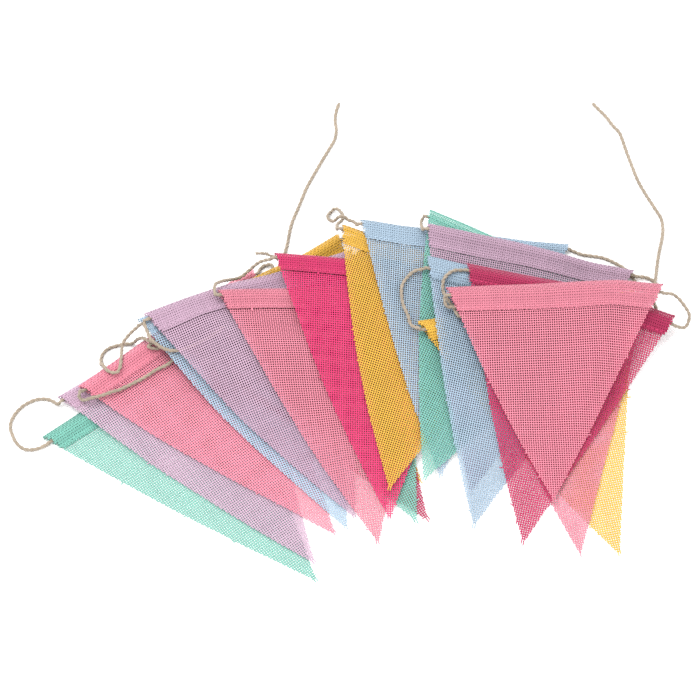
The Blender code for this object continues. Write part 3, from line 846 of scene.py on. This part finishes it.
def rounded_line(line, step):
    """Even steps along a smooth curve through a line's points."""
    ends = np.vstack([2 * line[0] - line[1], line, 2 * line[-1] - line[-2]])
    way = []
    for a, b, c, d in zip(ends, ends[1:], ends[2:], ends[3:]):
        count = max(2, math.ceil(np.linalg.norm(c - b) / step))
        for t in np.linspace(0, 1, count, endpoint=False):
            way.append(0.5 * (2 * b + (c - a) * t + (2 * a - 5 * b + 4 * c - d) * t ** 2
                              + (3 * b - a - 3 * c + d) * t ** 3))
    return np.array(way + [line[-1]])


def twisted_strands(tree, given):
    """Two strands that twist round a line."""
    line = made(tree, 'MeshToCurve', {"Mesh": given["Geometry"]})
    line = made(tree, 'ResampleCurve', {"Curve": line, "Length": given["Step"]},
                mode='LENGTH')
    tangent = made(tree, 'InputTangent')
    normal = made(tree, 'InputNormal', which="Normal")
    line, fields = kept(tree, line, run=made(tree, 'SplineParameter', which="Length"),
                        normal=normal, other=vector_maths('CROSS_PRODUCT', tangent, normal))
    turns = fields["run"] / given["Twist"]
    out = given["Diameter"] * STRAND_OUT
    tubes = []
    for number in (0, 1):
        lump = noise(tree, vector(tree, fields["run"], LUMP_SHIFT * number), LUMP_SCALE)
        angle = turns * math.tau + math.pi * number + lump * LUMP_TURN
        push = vector_maths('ADD', *(
            vector_maths('SCALE', fields[way], scale=maths(wave, angle) * out)
            for way, wave in (("normal", 'COSINE'), ("other", 'SINE'))))
        strand = made(tree, 'SetPosition', {"Geometry": line, "Offset": push})
        ring = made(tree, 'CurvePrimitiveCircle',
                    {"Resolution": STRAND_CORNERS, "Radius": given["Diameter"] * STRAND_RADIUS},
                    "Curve")
        ring, corner = kept(tree, ring,
                            round=made(tree, 'SplineParameter', which="Factor"))
        tube = made(tree, 'CurveToMesh',
                    {"Curve": strand, "Profile Curve": ring,
                     "Scale": THINNEST + lump * LUMP_SPREAD, "Fill Caps": True})
        spun = vector(tree, fields["run"] / STRAND_UNIT, corner["round"] + turns)
        tubes.append(stored(tree, tube, "UVMap", spun, 'FLOAT2', 'CORNER'))
    return joined(tree, *tubes)


def standing_fuzz(tree, given, strands):
    """Bent fibres that stand off the strands."""
    spread = add_node(tree, 'DistributePointsOnFaces',
                      {"Mesh": strands, "Density": given["Fuzz"] * PER_SQUARE_CENTIMETRE,
                       "Seed": given["Seed"]})
    fibre = made(tree, 'MeshLine',
                 {"Count": 4, "Start Location": (0, 0, 0), "Offset": (0, 0, 1 / 3)}, mode='OFFSET')
    rise = parts_of(tree, made(tree, 'InputPosition'))[2]
    fibre = made(tree, 'SetPosition',
                 {"Geometry": fibre, "Offset": vector(tree, rise * rise * FUZZ_BEND)})
    fibre = made(tree, 'MeshToCurve', {"Mesh": fibre})
    thin = made(tree, 'CurvePrimitiveCircle', {"Resolution": 3, "Radius": FUZZ_RADIUS},
                "Curve")
    fibre = made(tree, 'CurveToMesh',
                 {"Curve": fibre, "Profile Curve": thin, "Fill Caps": True})
    fibre = stored(tree, fibre, "UVMap", vector(tree), 'FLOAT2', 'CORNER')
    index, seed = made(tree, 'InputIndex'), given["Seed"]
    lean = vector(tree, chance(tree, index, seed + 3, -FUZZ_LEAN, FUZZ_LEAN),
                  chance(tree, index, seed + 4, -FUZZ_LEAN, FUZZ_LEAN),
                  chance(tree, index, seed + 5, 0.0, math.tau))
    turned = made(tree, 'FunctionNodeRotateRotation',
                  {"Rotation": output(spread, "Rotation"),
                   "Rotate By": made(tree, 'FunctionNodeEulerToRotation', {"Euler": lean})},
                  rotation_space='LOCAL')
    size = chance(tree, index, seed + 6, SHORTEST_FUZZ, 1.0) * given["Fuzz Length"]
    return made(tree, 'InstanceOnPoints',
                {"Points": output(spread, "Points"), "Instance": fibre, "Rotation": turned,
                 "Scale": vector(tree, size, size, size)})


def twine_tree():
    """Geometry nodes that twist twine round a line, with fuzz, and keep it above the floor."""
    tree, given = new_geometry_tree(
        "twisted_twine", lengths=("Diameter", "Twist", "Step", "Fuzz Length"), numbers=("Fuzz",))
    strands = twisted_strands(tree, given)
    fuzz = standing_fuzz(tree, given, strands)
    real = made(tree, 'RealizeInstances', {"Geometry": joined(tree, strands, fuzz)})
    x, y, z = parts_of(tree, made(tree, 'InputPosition'))
    above = vector(tree, x, y, maths('MAXIMUM', z, 0.0))
    on_floor = made(tree, 'SetPosition', {"Geometry": real, "Position": above})
    end_tree(tree, on_floor, given["Material"])
    return tree


# ---- operators

class BUNTING_OT_stage(bpy.types.Operator):
    """Set the floor, the soft light and the camera"""
    bl_idname = "bunting.stage"
    bl_label = "Set the stage"

    def execute(self, context):
        scene = context.scene
        settings = scene.bunting_stage
        scene.view_settings.view_transform = 'Standard'
        scene.cycles.use_denoising = False      # it would smooth the threads of the mesh away
        corners = [(x * FLOOR_HALF, y * FLOOR_HALF, 0)
                   for x, y in ((-1, -1), (1, -1), (1, 1), (-1, 1))]
        floor = new_object("floor", corners, [(0, 1, 2, 3)])
        material, shader = new_material("pale_floor", settings.floor, roughness=0.95, sheen=0.0)
        grain = noise(material.node_tree, object_place(material.node_tree), scale=3.0)
        tint(shader, settings.floor, FLOOR_BASE + grain * FLOOR_GRAIN)
        floor.data.materials.append(material)

        world = bpy.data.worlds.new("soft_sky")
        world.use_nodes = True
        back = world.node_tree.nodes["Background"]
        back.inputs["Color"].default_value = (1, 1, 1, 1)
        back.inputs["Strength"].default_value = settings.sky
        scene.world = world

        lamp = bpy.data.lights.new("soft_lamp", 'AREA')
        lamp.shape = 'DISK'
        lamp.size = LAMP_SIZE
        lamp.energy = settings.lamp
        hung = placed("soft_lamp", lamp, LAMP_PLACE)
        hung.rotation_mode = 'QUATERNION'
        hung.rotation_quaternion = (-hung.location).to_track_quat('-Z', 'Y')

        camera = bpy.data.cameras.new("camera")
        camera.lens = settings.lens
        camera.clip_start, camera.clip_end = CAMERA_RANGE
        back_way = Vector((0, -math.cos(settings.elevation), math.sin(settings.elevation)))
        scene.camera = placed("camera", camera, Vector(CAMERA_AIM) + back_way * settings.distance)
        scene.camera.rotation_euler = (math.pi / 2 - settings.elevation, 0, 0)
        return {'FINISHED'}


class BUNTING_OT_twine(bpy.types.Operator):
    """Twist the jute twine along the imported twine's line"""
    bl_idname = "bunting.twine"
    bl_label = "Twist the twine"

    def execute(self, context):
        settings = context.scene.bunting_twine
        tree = twine_tree()
        jute = jute_material(settings.jute)
        item = new_line("frayed_end", rounded_line(np.array(STUB) * MILLIMETRE, STUB_STEP))
        run_tree(item, tree, named_inputs(settings, "twist", "step") | {
            "Diameter": settings.diameter * STUB_THICKNESS, "Fuzz Length": settings.stub_fuzz,
            "Fuzz": STUB_FUZZ, "Seed": settings.stub_seed, "Material": jute})
        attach(item, BODY)

        line = rounded_line(packed_twine_line(), LINE_STEP)
        line[:, 2] = np.maximum(line[:, 2], settings.diameter / 2)
        item = new_line("jute_twine", line)
        run_tree(item, tree, {"Material": jute} | named_inputs(
            settings, "diameter", "twist", "step", "fuzz_length", "fuzz", "seed"))
        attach(item, BODY)
        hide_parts("twine")
        return {'FINISHED'}


class BUNTING_OT_pennants(bpy.types.Operator):
    """Weave the mesh cloth of every pennant over its drape"""
    bl_idname = "bunting.pennants"
    bl_label = "Weave the pennants"

    def execute(self, context):
        settings = context.scene.bunting_cloth
        tree = weave_tree()
        materials = {name: thread_material("mesh_thread_" + name, getattr(settings, name))
                     for name in sorted({p.colour for p in PENNANTS})}
        weave = named_inputs(settings, "warp_pitch", "weft_pitch", "thread_width", "crimp",
                             "wander", "flap_widening")
        for number, pennant in enumerate(PENNANTS):
            item = sheet_of(pennant)
            shape = named_inputs(pennant, "width", "depth", "lean", "bow", "flap",
                                 unit=MILLIMETRE)
            run_tree(item, tree, weave | shape | {
                "Tip Width": WOVEN_TIP * MILLIMETRE, "Raggedness": settings.ragged * pennant.fray,
                "Loose Ends": settings.loose * pennant.fray,
                "Tip Threads": settings.tassel * pennant.fray,
                "Seed": settings.seed + 10 * number, "Material": materials[pennant.colour]})
            shade_under_others(item, number)
            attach(item, BODY)
            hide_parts("pennant_" + pennant.name)
        return {'FINISHED'}


class BUNTING_OT_seams(bpy.types.Operator):
    """Sew the casing of every pennant"""
    bl_idname = "bunting.seams"
    bl_label = "Sew the casings"

    def execute(self, context):
        settings = context.scene.bunting_seam
        cloth = context.scene.bunting_cloth
        tree = seam_tree()
        stitches = named_inputs(settings, "stitch_step", "stitch_length", "thread_thickness")
        for number, pennant in enumerate(PENNANTS):
            grid = read_heights(pennant)
            down = pennant.flap - settings.from_edge / MILLIMETRE
            rise = flap_rise(pennant, down) + SEAM_RISE
            points = [draped(pennant, grid, along, down, rise)
                      for along in np.arange(left_edge(pennant, down) + SEAM_INSET,
                                             right_edge(pennant, down) - SEAM_INSET, FINE_STEP)]
            item = new_line("seam_" + pennant.name, points)
            colour_value = tuple(min(1.0, value * SEWING_GAIN + SEWING_LIFT)
                                 for value in getattr(cloth, pennant.colour))
            run_tree(item, tree, stitches | {
                "Seed": number, "Material": sewing_material(pennant.colour, colour_value)})
            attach(item, BODY)
        return {'FINISHED'}


class BUNTING_PT_panel(bpy.types.Panel):
    """The bunting's pieces, in the order that they are made"""
    bl_idname = "BUNTING_PT_panel"
    bl_label = "Fabric bunting"
    bl_space_type = 'VIEW_3D'
    bl_region_type = 'UI'
    bl_category = "Bunting"

    def draw(self, context):
        for operator, settings, _ in PARTS:
            box = self.layout.box()
            box.operator(operator.bl_idname)
            group = getattr(context.scene, settings)
            for name in group.__annotations__:
                box.prop(group, name)


PARTS = ((BUNTING_OT_stage, "bunting_stage", StageSettings),
         (BUNTING_OT_twine, "bunting_twine", TwineSettings),
         (BUNTING_OT_pennants, "bunting_cloth", ClothSettings),
         (BUNTING_OT_seams, "bunting_seam", SeamSettings))
CLASSES = [group for _, _, group in PARTS] + [part[0] for part in PARTS] + [BUNTING_PT_panel]


def register():
    for item in CLASSES:
        bpy.utils.register_class(item)
    for _, name, group in PARTS:
        setattr(bpy.types.Scene, name, PointerProperty(type=group))


def unregister():
    for _, name, _ in PARTS:
        delattr(bpy.types.Scene, name)
    for item in reversed(CLASSES):
        bpy.utils.unregister_class(item)


def main():
    register()
    bpy.ops.bunting.stage()
    bpy.ops.bunting.twine()
    bpy.ops.bunting.pennants()
    bpy.ops.bunting.seams()


if __name__ == "__main__":
    main()
